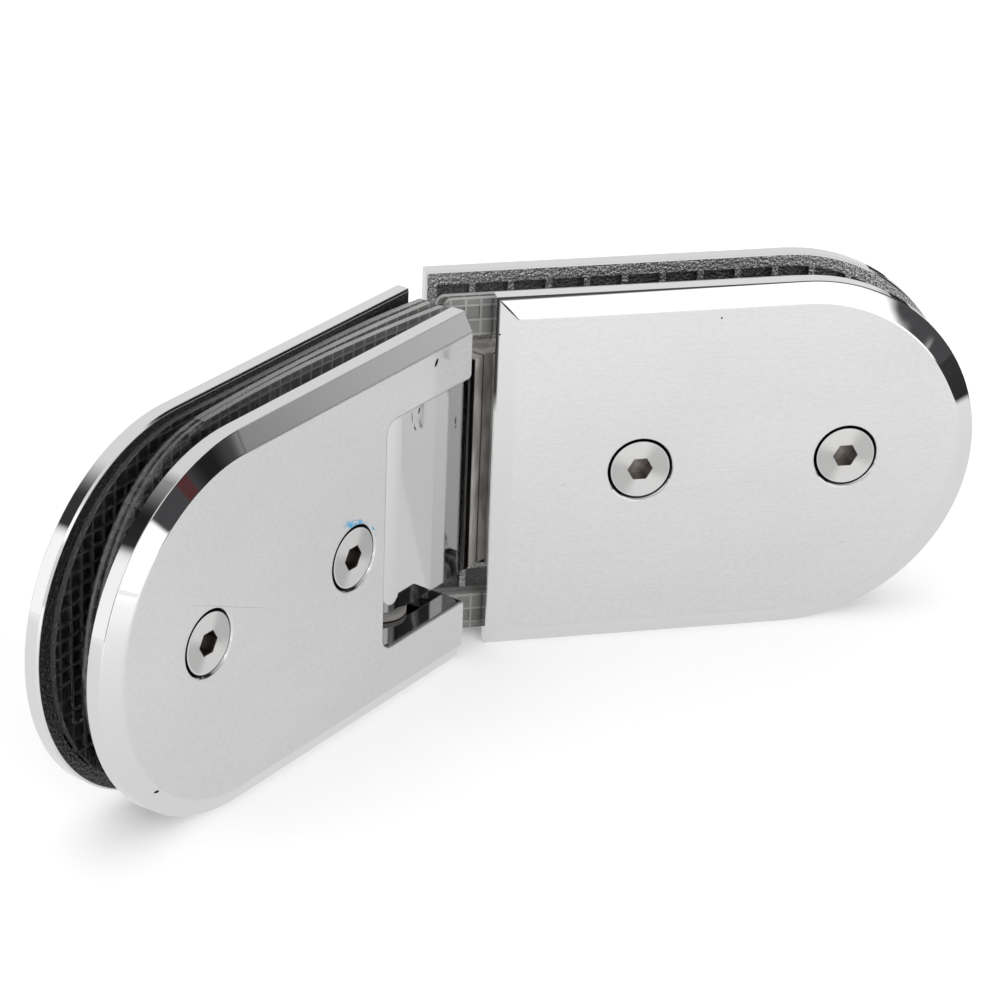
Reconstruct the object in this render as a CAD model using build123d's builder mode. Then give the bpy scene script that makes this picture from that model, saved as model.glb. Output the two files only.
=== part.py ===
from build123d import *

import os
from math import cos, radians, sin

# Glass-to-glass shower door hinge: two D-shaped leaves that clamp glass, on a bent pivot block.
# The origin is on the pivot axis, level with the lower edges of the plates. The fixed leaf runs
# along +X with its front towards -Y, and the moving leaf folds towards -Y.

os.makedirs("parts", exist_ok=True)

# ---- layout of the two leaves
plate_height = 67.5  # along the pivot axis
fold_angle = 42.3  # between the leaves at rest, where 0 is a flat hinge
axis_to_bend = 22.0  # pivot axis to the line where the middle planes of the leaves meet
fixed_front_start = 4.7  # bend line to the edge of the fixed front plate
fixed_back_extra = 10.0  # the fixed back plate reaches this much further round the bend
moving_front_start = 12.6  # pivot axis to the edge of the moving front plate
moving_back_extra = 1.3

# ---- clamping plates
plate_rim = 2.6  # polished rim, square to the face
bevel_depth = 1.85
bevel_width = 3.5
glass_gap = 10.2  # 8 mm glass with a gasket on each side
screw_pitch = 38.0
screw_to_tip = 24.4
fixed_edge_to_screw = 26.7
moving_edge_to_screw = 32.8
block_clearance = 1.1  # pivot block to the notch, above and below
notch_depth = 23.9
notch_corner = 2.2
mouth_corner = 1.0  # of the moving front plate, where the notch opens
edge_round = 0.5  # polished edge of the moving front plate, round the notch
back_lip = 0.35  # ground off the inner edge of each back plate's rim

# ---- cast inside of the back plates
pocket_border = 2.5
first_pocket = 5.0  # straight edge to the middle of the first column
pocket_pitch_x = 6.9
pocket_pitch_z = 7.05
pocket_rib = 1.1
pocket_depth = 1.8
smallest_pocket = 5.0  # square millimetres
post_diameter = 11.5
post_pad = 14.0
post_clearance = 0.3  # post to the back of the front plate
seat_margin = 0.6  # solid metal kept round the tongue's seat

# ---- cover screws
screw_diameter = 6.0
screw_hole = 6.4
head_diameter = 11.0
head_land = 0.4
head_sink = 0.15  # head's face below the plate's face
screw_length = 13.0
screw_socket = 4.0
socket_depth = 3.0
thread_clearance = 0.05
tip_chamfer = 0.5
hole_spare = 0.6  # blind holes are this much deeper than their screws

# ---- gaskets
gasket_thickness = 1.1
gasket_inset = 1.5
gasket_corner = 1.6
gasket_clearance = 0.3  # hole to post, and sheet to ear
fixed_gasket_places = (0.9, 2.6)  # back of the front plate to each sheet
fixed_gasket_reach = (8.6, 9.5)  # how far the arms of each sheet pass the front plate's edge
fixed_gasket_notch_end = 0.9  # behind the front plate's edge
moving_gasket_reach = 3.0
# Back of the front plate to the middle of a bowed sheet: at its edge, midway, and at its tip.
front_bow = (3.2, 6.55, 0.8)
middle_bow = (6.0, 7.8, 2.4)
back_curl = 2.1  # straight edge of the back sheet off its plate
back_curl_length = 27.5

# ---- pivot block
block_thickness = 8.1
block_height = 40.8
inner_bend_radius = 4.0
tongue_thickness = 5.7
tongue_length = 24.5  # beyond the bend line
block_screw_diameter = 4.0
block_screw_head = 7.4
block_screw_length = 8.4
block_screw_socket = 2.5
block_screw_margin = 7.4  # block's upper and lower edges to each screw
block_screw_inset = 7.0  # from the tongue's end

# ---- pivot pin, bushes and ears
pin_diameter = 5.0
pin_clearance = 0.05
pin_end_play = 0.2
ear_height = 3.8
ear_gap = 0.1  # ear to back plate
bush_diameter = 6.5
bush_length = 8.0
flange_diameter = 9.8
bush_play = 0.15  # between each flange and its ear
press_clearance = 0.02
lock_screw_diameter = 2.5
lock_screw_socket = 1.3

# ---- detent inside the block
detent_bore = 4.6
detent_spacing = 18.0
slide_clearance = 0.05
pin_flat_depth = 0.25
pin_flat_height = 24.0
plunger_length = 5.5
spring_length = 10.0
spring_wire = 0.8
spring_turns = 4
spring_bends = 12  # straight lengths in each turn, which keep the hidden springs light
tension_screw_length = 5.0
tension_screw_socket = 2.0

# ---- values that follow
middle = plate_height / 2
half_gap = glass_gap / 2
plate_thickness = plate_rim + bevel_depth
half_thickness = half_gap + plate_thickness
fold = radians(fold_angle)
bend_x = axis_to_bend * cos(fold)
bend_y = axis_to_bend * sin(fold)
block_half = block_thickness / 2
tongue_front = tongue_thickness - half_gap
notch_height = block_height + 2 * block_clearance
flange_thickness = block_clearance - bush_play
ear_bottom = notch_height / 2
ear_top = ear_bottom + ear_height

# Leaf planes: X towards the right, Y up, Z out of the front plates.
fixed_leaf = Plane(origin=(bend_x, bend_y, middle), x_dir=(1, 0, 0), z_dir=(0, -1, 0))
moving_leaf = Plane(
    origin=(0, 0, middle), x_dir=(cos(fold), sin(fold), 0), z_dir=(sin(fold), -cos(fold), 0)
)

# Straight edges, screws and round tips of the plates, along each leaf's X.
fixed_edge = fixed_front_start
fixed_back_edge = fixed_edge - fixed_back_extra
fixed_screws = [fixed_edge + fixed_edge_to_screw + i * screw_pitch for i in range(2)]
fixed_tip = fixed_screws[1] + screw_to_tip
moving_edge = moving_front_start
moving_back_edge = moving_edge + moving_back_extra
moving_screws = [moving_edge - moving_edge_to_screw - i * screw_pitch for i in range(2)]
moving_tip = moving_screws[1] - screw_to_tip
notch_end = moving_edge - notch_depth


def finish(part, name):
    """Label a finished piece and write it."""
    part.label = name
    export_step(part, f"parts/{name}.step")


def d_outline(edge, tip, inset=0.0, edge_inset=0.0):
    """Straight edge on one side and a full half-round at the tip."""
    way = 1 if tip > edge else -1
    radius = plate_height / 2 - inset
    start = edge + way * edge_inset
    centre = tip - way * plate_height / 2
    with BuildSketch() as outline:
        with BuildLine():
            Polyline((centre, radius), (start, radius), (start, -radius), (centre, -radius))
            ThreePointArc((centre, -radius), (centre + way * radius, 0), (centre, radius))
        make_face()
    return outline.sketch


def plate_blank(leaf, edge, tip, side, plain_edge=False, lip=0.0):
    """Bevelled plate in front of the gap (side 1) or behind it (side -1)."""
    outline = d_outline(edge, tip)
    with BuildPart() as blank:
        with BuildSketch(leaf.offset(side * half_gap)):
            add(outline)
        extrude(amount=side * plate_thickness)
        face = blank.faces().sort_by(Axis(leaf.origin, leaf.z_dir))[-1 if side > 0 else 0]
        edges = face.edges()
        if plain_edge:
            straight = edges.filter_by(Axis.Z)
            edges = [one for one in edges if one not in straight]
        chamfer(edges, bevel_width, bevel_depth, reference=face)
        if lip > 0:
            inner = blank.faces().sort_by(Axis(leaf.origin, leaf.z_dir))[0 if side > 0 else -1]
            chamfer(inner.edges(), lip)
    return blank.part


def pocket_faces(edge, tip, screws, seat_end=None, clear_notch=False):
    """Pockets of a cast back plate: a square grid cut off by the border, posts and seat."""
    way = 1 if tip > edge else -1
    columns = int(abs(tip - edge) / pocket_pitch_x)
    rows = int((plate_height - 2 * pocket_border + pocket_rib) / pocket_pitch_z)
    grid_middle = edge + way * (first_pocket + (columns - 1) * pocket_pitch_x / 2)
    inner = d_outline(edge, tip, pocket_border, first_pocket - (pocket_pitch_x - pocket_rib) / 2)
    with BuildSketch() as cells:
        with Locations((grid_middle, 0)):
            with GridLocations(pocket_pitch_x, pocket_pitch_z, columns, rows):
                Rectangle(pocket_pitch_x - pocket_rib, pocket_pitch_z - pocket_rib)
        add(inner, mode=Mode.INTERSECT)
        with Locations(*[(x, 0) for x in screws]):
            Circle(post_pad / 2, mode=Mode.SUBTRACT)
        if seat_end is not None:
            seat = abs(seat_end - edge) + seat_margin
            with Locations((edge + way * seat / 2, 0)):
                Rectangle(seat, block_height + 2 * seat_margin, mode=Mode.SUBTRACT)
        if clear_notch:
            depth = abs(edge - notch_end) + pocket_border
            with Locations((edge + way * depth / 2, 0)):
                Rectangle(depth, 2 * ear_top, mode=Mode.SUBTRACT)
    return [cell for cell in cells.faces() if cell.area > smallest_pocket]


def notch_outline(edge):
    """Open notch for the pivot block, from a plate's straight edge."""
    spare = notch_corner + 1
    depth = edge - notch_end
    with BuildSketch() as notch:
        with Locations((notch_end + (depth + spare) / 2, 0)):
            RectangleRounded(depth + spare, notch_height, notch_corner)
    return notch.sketch


def gasket_outline(edge, tip, screws, notch, end):
    """Gasket sheet: D outline with rounded corners, a notch for the block and two post holes."""
    depth = abs(edge - end)
    way = 1 if tip > edge else -1
    with BuildSketch() as sheet:
        add(d_outline(edge, tip, gasket_inset))
        with Locations((edge + way * depth / 2, 0)):
            Rectangle(depth, notch, mode=Mode.SUBTRACT)
        corners = sheet.vertices().filter_by_position(Axis.X, edge - 0.01, edge + 0.01)
        fillet(corners, gasket_corner)
        with Locations(*[(x, 0) for x in screws]):
            Circle(post_diameter / 2 + gasket_clearance, mode=Mode.SUBTRACT)
    return sheet.sketch


def socket_screw(top, diameter, head, land, length, socket, depth):
    """Countersunk or headless screw with a hexagon socket, its face on the plane given."""
    cone = (head - diameter) / 2
    with BuildPart() as screw:
        if head > diameter:
            with BuildSketch(top):
                Circle(head / 2)
            extrude(amount=-land)
            with BuildSketch(top.offset(-land)):
                Circle(head / 2)
            with BuildSketch(top.offset(-land - cone)):
                Circle(diameter / 2)
            loft()
        with BuildSketch(top):
            Circle(diameter / 2)
        extrude(amount=-length)
        tip = screw.edges().sort_by(Axis(top.origin, top.z_dir))[0]
        chamfer(tip, min(tip_chamfer, diameter / 6))
        with BuildSketch(top):
            RegularPolygon(socket / 2, 6, major_radius=False)
        extrude(amount=-depth, mode=Mode.SUBTRACT)
    return screw.part


# ==== plates

with BuildPart() as fixed_front_plate:
    add(plate_blank(fixed_leaf, fixed_edge, fixed_tip, 1))
    with Locations(*[fixed_leaf * Pos(x, 0, half_thickness) for x in fixed_screws]):
        CounterSinkHole(screw_hole / 2, head_diameter / 2 + head_land + head_sink, plate_thickness)
finish(fixed_front_plate.part, "fixed_front_plate")

block_screw_x = tongue_length - block_screw_inset
block_screw_spacing = block_height - 2 * block_screw_margin
block_screw_places = [(block_screw_x, way * block_screw_spacing / 2) for way in (1, -1)]

with BuildPart() as fixed_back_plate:
    add(plate_blank(fixed_leaf, fixed_back_edge, fixed_tip, -1, lip=back_lip))
    with BuildSketch(fixed_leaf.offset(-half_gap)):
        add(pocket_faces(fixed_back_edge, fixed_tip, fixed_screws, seat_end=tongue_length))
    extrude(amount=-pocket_depth, mode=Mode.SUBTRACT)
    with BuildSketch(fixed_leaf.offset(half_gap - post_clearance)):
        with Locations(*[(x, 0) for x in fixed_screws]):
            Circle(post_diameter / 2)
    extrude(amount=post_clearance - glass_gap)
    with Locations(*[fixed_leaf * Pos(x, 0, half_gap - post_clearance) for x in fixed_screws]):
        Hole(
            screw_diameter / 2 + thread_clearance,
            screw_length + hole_spare - plate_thickness - post_clearance,
        )
    with Locations(*[fixed_leaf * Pos(x, y, -half_gap) for x, y in block_screw_places]):
        Hole(
            block_screw_diameter / 2 + thread_clearance,
            block_screw_length + hole_spare - tongue_thickness,
        )
finish(fixed_back_plate.part, "fixed_back_plate")

with BuildPart() as moving_front_plate:
    add(plate_blank(moving_leaf, moving_edge, moving_tip, 1, plain_edge=True))
    with BuildSketch(moving_leaf.offset(half_gap)):
        add(notch_outline(moving_edge))
    extrude(amount=plate_thickness, mode=Mode.SUBTRACT)
    # Ears above and below the block, cast with the plate.
    with BuildSketch(moving_leaf.offset(half_gap)):
        for way in (1, -1):
            with Locations((moving_edge - notch_depth / 2, way * (ear_bottom + ear_height / 2))):
                Rectangle(notch_depth, ear_height)
    extrude(amount=ear_gap - glass_gap)
    # Round the corners where the notch opens, then every edge that shows there from the front.
    ends = moving_front_plate.faces().sort_by(Axis((0, 0, 0), moving_leaf.x_dir))[-2:]
    through = ends.edges().filter_by(Axis((0, 0, 0), moving_leaf.z_dir))
    fillet([edge for edge in through if abs(edge.center().Z - middle) < ear_top], mouth_corner)
    ends = moving_front_plate.faces().sort_by(Axis((0, 0, 0), moving_leaf.x_dir))[-2:]
    in_front = half_gap + plate_rim / 4
    fillet(
        [
            edge
            for edge in ends.edges()
            if moving_leaf.to_local_coords(edge.center()).Z > in_front
        ],
        edge_round,
    )
    with Locations(Pos(0, 0, middle + ear_top)):
        Hole(pin_diameter / 2 + press_clearance, 2 * ear_top)
    for way in (1, -1):
        with BuildSketch(moving_leaf.offset(ear_gap - half_gap)):
            with Locations((0, way * (ear_bottom + ear_height / 2))):
                Circle(lock_screw_diameter / 2 + thread_clearance)
        extrude(amount=half_gap - ear_gap, mode=Mode.SUBTRACT)
    with Locations(*[moving_leaf * Pos(x, 0, half_thickness) for x in moving_screws]):
        CounterSinkHole(screw_hole / 2, head_diameter / 2 + head_land + head_sink, plate_thickness)
finish(moving_front_plate.part, "moving_front_plate")

with BuildPart() as moving_back_plate:
    add(plate_blank(moving_leaf, moving_back_edge, moving_tip, -1, lip=back_lip))
    with BuildSketch(moving_leaf.offset(-half_gap)):
        add(notch_outline(moving_back_edge))
    extrude(amount=-plate_thickness, mode=Mode.SUBTRACT)
    with BuildSketch(moving_leaf.offset(-half_gap)):
        add(pocket_faces(moving_back_edge, moving_tip, moving_screws, clear_notch=True))
    extrude(amount=-pocket_depth, mode=Mode.SUBTRACT)
    with BuildSketch(moving_leaf.offset(half_gap - post_clearance)):
        with Locations(*[(x, 0) for x in moving_screws]):
            Circle(post_diameter / 2)
    extrude(amount=post_clearance - glass_gap)
    with Locations(*[moving_leaf * Pos(x, 0, half_gap - post_clearance) for x in moving_screws]):
        Hole(
            screw_diameter / 2 + thread_clearance,
            screw_length + hole_spare - plate_thickness - post_clearance,
        )
finish(moving_back_plate.part, "moving_back_plate")

# ==== pivot block, bent to the fold angle, with its tongue behind the fixed front plate

def moving_spot(along, front):
    """Point in plan from its place along the moving leaf and in front of its middle plane."""
    return (along * cos(fold) + front * sin(fold), along * sin(fold) - front * cos(fold))


inner_corner = (bend_y - tongue_front + block_half * cos(fold)) / sin(fold)
outer_corner = (bend_y + half_gap - block_half * cos(fold)) / sin(fold)

with BuildPart() as pivot_block:
    with BuildSketch(Plane.XY.offset(middle - block_height / 2)) as plan:
        with BuildLine():
            Polyline(
                moving_spot(0, block_half),
                moving_spot(inner_corner, block_half),
                (bend_x + tongue_length, bend_y - tongue_front),
                (bend_x + tongue_length, bend_y + half_gap),
                moving_spot(outer_corner, -block_half),
                moving_spot(0, -block_half),
            )
            ThreePointArc(
                moving_spot(0, -block_half), moving_spot(-block_half, 0), moving_spot(0, block_half)
            )
        make_face()
        bend = plan.vertices().sort_by_distance((*moving_spot(inner_corner, block_half), 0))[0]
        fillet(bend, inner_bend_radius)
    extrude(amount=block_height)
    # Pin bore, with a wider seat for each bush.
    with Locations(Pos(0, 0, middle + block_height / 2)):
        Hole(pin_diameter / 2 + pin_clearance, block_height)
    for way in (1, -1):
        with BuildSketch(Plane.XY.offset(middle + way * block_height / 2)):
            Circle(bush_diameter / 2 + press_clearance)
        extrude(amount=-way * bush_length, mode=Mode.SUBTRACT)
    # Detent bores, which the back plate closes.
    for way in (1, -1):
        start = Plane(origin=(0, 0, middle + way * detent_spacing / 2), z_dir=moving_leaf.x_dir)
        with BuildSketch(start):
            Circle(detent_bore / 2)
        extrude(amount=2 * axis_to_bend, mode=Mode.SUBTRACT)
    with Locations(*[fixed_leaf * Pos(x, y, tongue_front) for x, y in block_screw_places]):
        CounterSinkHole(
            block_screw_diameter / 2 + thread_clearance,
            block_screw_head / 2 + head_land,
            tongue_thickness,
        )
finish(pivot_block.part, "pivot_block")

# ==== gaskets

for name, place, reach in zip(
    ("fixed_front_gasket", "fixed_rear_gasket"), fixed_gasket_places, fixed_gasket_reach
):
    sheet_outline = gasket_outline(
        fixed_edge - reach,
        fixed_tip - gasket_inset,
        fixed_screws,
        2 * ear_top,
        fixed_edge + fixed_gasket_notch_end,
    )
    with BuildPart() as gasket:
        with BuildSketch(fixed_leaf.offset(half_gap - place)):
            add(sheet_outline)
        extrude(amount=-gasket_thickness)
    finish(gasket.part, name)

moving_notch = 2 * (ear_top + gasket_clearance)
moving_notch_end = notch_end - gasket_clearance

moving_outline = gasket_outline(
    moving_edge + moving_gasket_reach,
    moving_tip + gasket_inset,
    moving_screws,
    moving_notch,
    moving_notch_end,
)
line_end = moving_edge + moving_gasket_reach + gasket_thickness
back_sheet_front = gasket_thickness / 2 - half_gap
curl_start = moving_spot(line_end - back_curl_length, back_sheet_front)


def bowed_sheet(centre_line, name):
    """Gasket sheet that follows a line seen from above, between the plates of the moving leaf."""
    with BuildPart() as gasket:
        with BuildSketch(moving_leaf.offset(-half_gap)):
            add(moving_outline)
        extrude(amount=glass_gap)
        with BuildSketch(Plane.XY):
            trace(centre_line, gasket_thickness)
        extrude(amount=plate_height, mode=Mode.INTERSECT)
    finish(gasket.part, name)


# The two front sheets have come loose and bow towards the back one, whose edge curls forward.
for name, depths in (("moving_front_gasket", front_bow), ("moving_middle_gasket", middle_bow)):
    alongs = (line_end, (moving_edge + moving_tip) / 2, moving_tip)
    with BuildLine() as bow:
        ThreePointArc(
            *[moving_spot(along, half_gap - depth) for along, depth in zip(alongs, depths)]
        )
    bowed_sheet(bow.line, name)

with BuildLine() as curl:
    Line(moving_spot(moving_tip, back_sheet_front), curl_start)
    TangentArc(
        curl_start,
        moving_spot(line_end, back_sheet_front + back_curl),
        tangent=moving_leaf.x_dir,
    )
bowed_sheet(curl.line, "moving_back_gasket")

# ==== cover screws

cover_screws = {
    "fixed_inner_cover_screw": (fixed_leaf, fixed_screws[0]),
    "fixed_outer_cover_screw": (fixed_leaf, fixed_screws[1]),
    "moving_inner_cover_screw": (moving_leaf, moving_screws[0]),
    "moving_outer_cover_screw": (moving_leaf, moving_screws[1]),
}
for name, (leaf, x) in cover_screws.items():
    top = Plane(leaf * Pos(x, 0, half_thickness - head_sink))
    screw = socket_screw(
        top, screw_diameter, head_diameter, head_land, screw_length, screw_socket, socket_depth
    )
    finish(screw, name)

for name, (x, y) in zip(("upper_block_screw", "lower_block_screw"), block_screw_places):
    top = Plane(fixed_leaf * Pos(x, y, tongue_front))
    screw = socket_screw(
        top,
        block_screw_diameter,
        block_screw_head,
        head_land,
        block_screw_length,
        block_screw_socket,
        socket_depth / 2,
    )
    finish(screw, name)

# ==== pivot pin and bushes

pin_length = 2 * ear_top - pin_end_play
with BuildPart() as pivot_pin:
    with BuildSketch(Plane.XY.offset(middle - pin_length / 2)):
        Circle(pin_diameter / 2)
    extrude(amount=pin_length)
    chamfer(pivot_pin.edges().filter_by(GeomType.CIRCLE), tip_chamfer)
    # Flats that the plungers press on, one for each quarter turn.
    with BuildSketch(Plane.XY.offset(middle - pin_flat_height / 2)):
        Circle(pin_diameter)
        Rectangle(
            pin_diameter - 2 * pin_flat_depth,
            pin_diameter - 2 * pin_flat_depth,
            rotation=fold_angle,
            mode=Mode.SUBTRACT,
        )
    extrude(amount=pin_flat_height, mode=Mode.SUBTRACT)
finish(pivot_pin.part, "pivot_pin")

for name, way in (("upper_bush", 1), ("lower_bush", -1)):
    with BuildPart() as bush:
        block_end = Plane.XY.offset(middle + way * block_height / 2)
        with BuildSketch(block_end):
            Circle(flange_diameter / 2)
        extrude(amount=way * flange_thickness)
        with BuildSketch(block_end):
            Circle(bush_diameter / 2)
        extrude(amount=-way * bush_length)
        with Locations(Pos(0, 0, middle + way * block_height / 2)):
            Hole(pin_diameter / 2 + pin_clearance, 2 * bush_length)
    finish(bush.part, name)

lock_screw_length = half_gap - ear_gap - pin_diameter / 2 - press_clearance
for name, way in (("upper_lock_screw", 1), ("lower_lock_screw", -1)):
    ear_back = Vector(0, way * (ear_bottom + ear_height / 2), ear_gap - half_gap)
    back = Plane(
        origin=moving_leaf.from_local_coords(ear_back),
        x_dir=moving_leaf.x_dir,
        z_dir=-moving_leaf.z_dir,
    )
    lock_screw = socket_screw(
        back,
        lock_screw_diameter,
        lock_screw_diameter,
        0,
        lock_screw_length,
        lock_screw_socket,
        lock_screw_length / 2,
    )
    finish(lock_screw, name)

# ==== detent: plunger, spring and tension screw in each bore of the block

plunger_start = pin_diameter / 2 + pin_clearance
spring_start = plunger_start + plunger_length
screw_start = spring_start + spring_length
for level, way in (("upper", 1), ("lower", -1)):
    bore = Plane(origin=(0, 0, middle + way * detent_spacing / 2), z_dir=moving_leaf.x_dir)

    with BuildPart() as plunger:
        with BuildSketch(bore.offset(plunger_start)):
            Circle(detent_bore / 2 - slide_clearance)
        extrude(amount=plunger_length)
        chamfer(plunger.edges(), tip_chamfer / 2)
    finish(plunger.part, f"{level}_plunger")

    coil_radius = (detent_bore - spring_wire) / 2 - 2 * slide_clearance
    pitch = (spring_length - spring_wire) / spring_turns
    coil_start = bore.offset(spring_start + spring_wire / 2)
    lengths = spring_turns * spring_bends
    with BuildPart() as spring:
        with BuildLine() as coil:
            helix = Helix(
                pitch,
                spring_length - spring_wire,
                coil_radius,
                center=coil_start.origin,
                direction=coil_start.z_dir,
                mode=Mode.PRIVATE,
            )
            Polyline(*[helix @ (i / lengths) for i in range(lengths + 1)])
        with BuildSketch(Plane(origin=coil.line @ 0, z_dir=coil.line % 0)):
            RegularPolygon(spring_wire / 2, 6)
        sweep(path=coil.line, transition=Transition.RIGHT)
    finish(spring.part, f"{level}_spring")

    tension_screw = socket_screw(
        bore.offset(screw_start + tension_screw_length),
        detent_bore - 2 * thread_clearance,
        detent_bore - 2 * thread_clearance,
        0,
        tension_screw_length,
        tension_screw_socket,
        tension_screw_length / 2,
    )
    finish(tension_screw, f"{level}_tension_screw")
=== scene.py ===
from itertools import product
from math import cos, pi, radians, sin

import bmesh
import bpy
from mathutils import Euler, Matrix, Vector
from mathutils.bvhtree import BVHTree


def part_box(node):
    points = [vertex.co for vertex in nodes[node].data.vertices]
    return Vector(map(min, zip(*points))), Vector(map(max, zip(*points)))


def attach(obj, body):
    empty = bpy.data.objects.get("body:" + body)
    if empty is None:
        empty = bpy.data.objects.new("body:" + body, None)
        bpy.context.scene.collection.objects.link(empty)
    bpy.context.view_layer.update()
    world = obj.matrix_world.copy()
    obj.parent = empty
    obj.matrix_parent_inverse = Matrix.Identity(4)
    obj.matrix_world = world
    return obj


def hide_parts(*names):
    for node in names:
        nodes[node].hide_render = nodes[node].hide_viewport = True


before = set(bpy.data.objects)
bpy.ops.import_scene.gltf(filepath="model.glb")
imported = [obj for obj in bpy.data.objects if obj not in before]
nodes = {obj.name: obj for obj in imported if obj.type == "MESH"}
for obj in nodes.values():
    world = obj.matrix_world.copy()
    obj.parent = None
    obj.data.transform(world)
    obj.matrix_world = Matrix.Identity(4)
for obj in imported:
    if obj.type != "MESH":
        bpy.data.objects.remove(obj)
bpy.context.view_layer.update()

mm = 0.001

# the two leaves, with mm counted from the bend of the block on the fixed one and from the pivot
# axis on the moving one, at half the height of the plates

fold = radians(42.3)  # between the leaves at rest
axisToBend = 22.0  # mm
halfHeight = 33.75  # mm, half the height of a plate
leaves = {
    "fixed": {
        "along": (1, 0, 0), "front": (0, -1, 0),
        "origin": (axisToBend * cos(fold), axisToBend * sin(fold), halfHeight),
        # mm along the leaf: edge of the back plate, centre of the round tip, and the cover screws
        "straightEdge": -5.3, "roundCentre": 60.05, "tipSide": 1, "screws": (31.4, 69.4),
    },
    "moving": {
        "along": (cos(fold), sin(fold), 0), "front": (sin(fold), -cos(fold), 0),
        "origin": (0, 0, halfHeight),
        "straightEdge": 13.9, "roundCentre": -48.85, "tipSide": -1, "screws": (-20.2, -58.2),
    },
}


# small tools

def linear(hexColour):
    # sRGB hex to linear RGBA
    parts = [int(hexColour[i:i + 2], 16) / 255 for i in (1, 3, 5)]
    return [p / 12.92 if p <= 0.04045 else ((p + 0.055) / 1.055) ** 2.4 for p in parts] + [1.0]


def addNode(tree, kind, inputs=None, output=0, **settings):
    # inputs by name or number: another node's output is linked, anything else is set; gives one output
    node = tree.nodes.new("ShaderNode" + kind)
    for key, value in settings.items():
        setattr(node, key, value)
    for key, value in (inputs or {}).items():
        if isinstance(value, bpy.types.NodeSocket):
            tree.links.new(value, node.inputs[key])
        else:
            node.inputs[key].default_value = value
    return node.outputs[output] if node.outputs else node


def newMaterial(name):
    material = bpy.data.materials.new(name)
    material.use_nodes = True
    tree = material.node_tree
    return material, tree, tree.nodes["Principled BSDF"]


def finishSurface(tree, shader, colour, roughness, height, edge, curve=None):
    # links the look, softens the edges by so many mm, and raises the surface by the height in mm
    tree.links.new(colour, shader.inputs["Base Color"])
    tree.links.new(roughness, shader.inputs["Roughness"])
    normal = addNode(tree, "Bevel", {"Radius": edge * mm}, samples=4)
    if curve:
        normal = addNode(tree, "Mix", {0: curve[1], 4: normal, 5: curve[0]}, 1, data_type="VECTOR")
    normal = addNode(tree, "Bump", {"Strength": 1.0, "Distance": mm, "Height": height, "Normal": normal})
    tree.links.new(normal, shader.inputs["Normal"])


def leafPlace(tree, leaf):
    # mm along, up and out of the front of a leaf, as one vector
    spot = addNode(tree, "TexCoord", output=3)
    spot = addNode(tree, "VectorMath", {0: spot, "Scale": 1 / mm}, operation="SCALE")
    spot = addNode(tree, "VectorMath", {0: spot, 1: leaves[leaf]["origin"]}, operation="SUBTRACT")
    axes = (leaves[leaf]["along"], (0, 0, 1), leaves[leaf]["front"])
    dots = [addNode(tree, "VectorMath", {0: spot, 1: axis}, 1, operation="DOT_PRODUCT") for axis in axes]
    return addNode(tree, "CombineXYZ", dict(enumerate(dots)))


def facingFront(tree, leaf):
    # 1 on the wide flat faces of a leaf, 0 on its bevels and rims
    normal = addNode(tree, "TexCoord", output=1)
    dot = addNode(tree, "VectorMath", {0: normal, 1: leaves[leaf]["front"]}, 1, operation="DOT_PRODUCT")
    size = addNode(tree, "Math", {0: dot}, operation="ABSOLUTE")
    return addNode(tree, "MapRange", {0: size, 1: 0.985, 2: 0.999})


# painted shade in the seam between each cover screw's head and the plate
screwGapShade = {
    "radius": 5.55,  # mm, middle of the seam between head and plate
    "halfWidth": (0.26, 0.16),  # mm, to its outer edge and to where it is fully dark
    "colour": "#0c0c0c",
}


def screwSeamShade(tree, place, leaf):
    # 1 in the painted shade of the seam round each cover screw of a leaf and 0 elsewhere
    outer, inner = screwGapShade["halfWidth"]
    seamShades = None
    for centre in leaves[leaf]["screws"]:
        offset = addNode(tree, "VectorMath", {0: place, 1: (centre, 0, 0)}, operation="SUBTRACT")
        offset = addNode(tree, "VectorMath", {0: offset, 1: (1, 1, 0)}, operation="MULTIPLY")
        radius = addNode(tree, "VectorMath", {0: offset}, 1, operation="LENGTH")
        paintedDark = addNode(tree, "Math", {0: radius, 1: screwGapShade["radius"]}, operation="SUBTRACT")
        paintedDark = addNode(tree, "Math", {0: paintedDark}, operation="ABSOLUTE")
        paintedDark = addNode(tree, "MapRange", {0: paintedDark, 1: outer, 2: inner})
        if seamShades is not None:
            paintedDark = addNode(tree, "Math", {0: seamShades, 1: paintedDark}, operation="MAXIMUM")
        seamShades = paintedDark
    return seamShades


def grain(tree, place, size, stretch=(1, 1, 1), detail=3.0):
    # noise whose grain is so many mm across
    mapped = addNode(tree, "Mapping", {0: place, "Scale": [s / size for s in stretch]})
    return addNode(tree, "TexNoise", {"Vector": mapped, "Scale": 1.0, "Detail": detail})


def mark(tree, place, at, size, turn=0.0, soft=0.4, ragged=0.0):
    # 1 inside an ellipse round a point of the face and 0 outside it, with an edge ragged by so many mm
    if ragged:
        wobble = addNode(tree, "Math", {0: grain(tree, place, 0.7), 1: 0.5}, operation="SUBTRACT")
        wobble = addNode(tree, "Math", {0: wobble, 1: ragged}, operation="MULTIPLY")
        place = addNode(tree, "VectorMath", {0: place, 1: wobble}, operation="ADD")
    moved = addNode(tree, "VectorMath", {0: place, 1: (*at, 0)}, operation="SUBTRACT")
    turned = {"Vector": moved, "Angle": radians(-turn)}
    turned = addNode(tree, "VectorRotate", turned, rotation_type="Z_AXIS")
    shares = (1 / size[0], 1 / size[1], 0)
    scaled = addNode(tree, "VectorMath", {0: turned, 1: shares}, operation="MULTIPLY")
    length = addNode(tree, "VectorMath", {0: scaled}, 1, operation="LENGTH")
    return addNode(tree, "MapRange", {0: length, 1: 1.0, 2: 1.0 - soft}, interpolation_type="SMOOTHSTEP")


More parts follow.
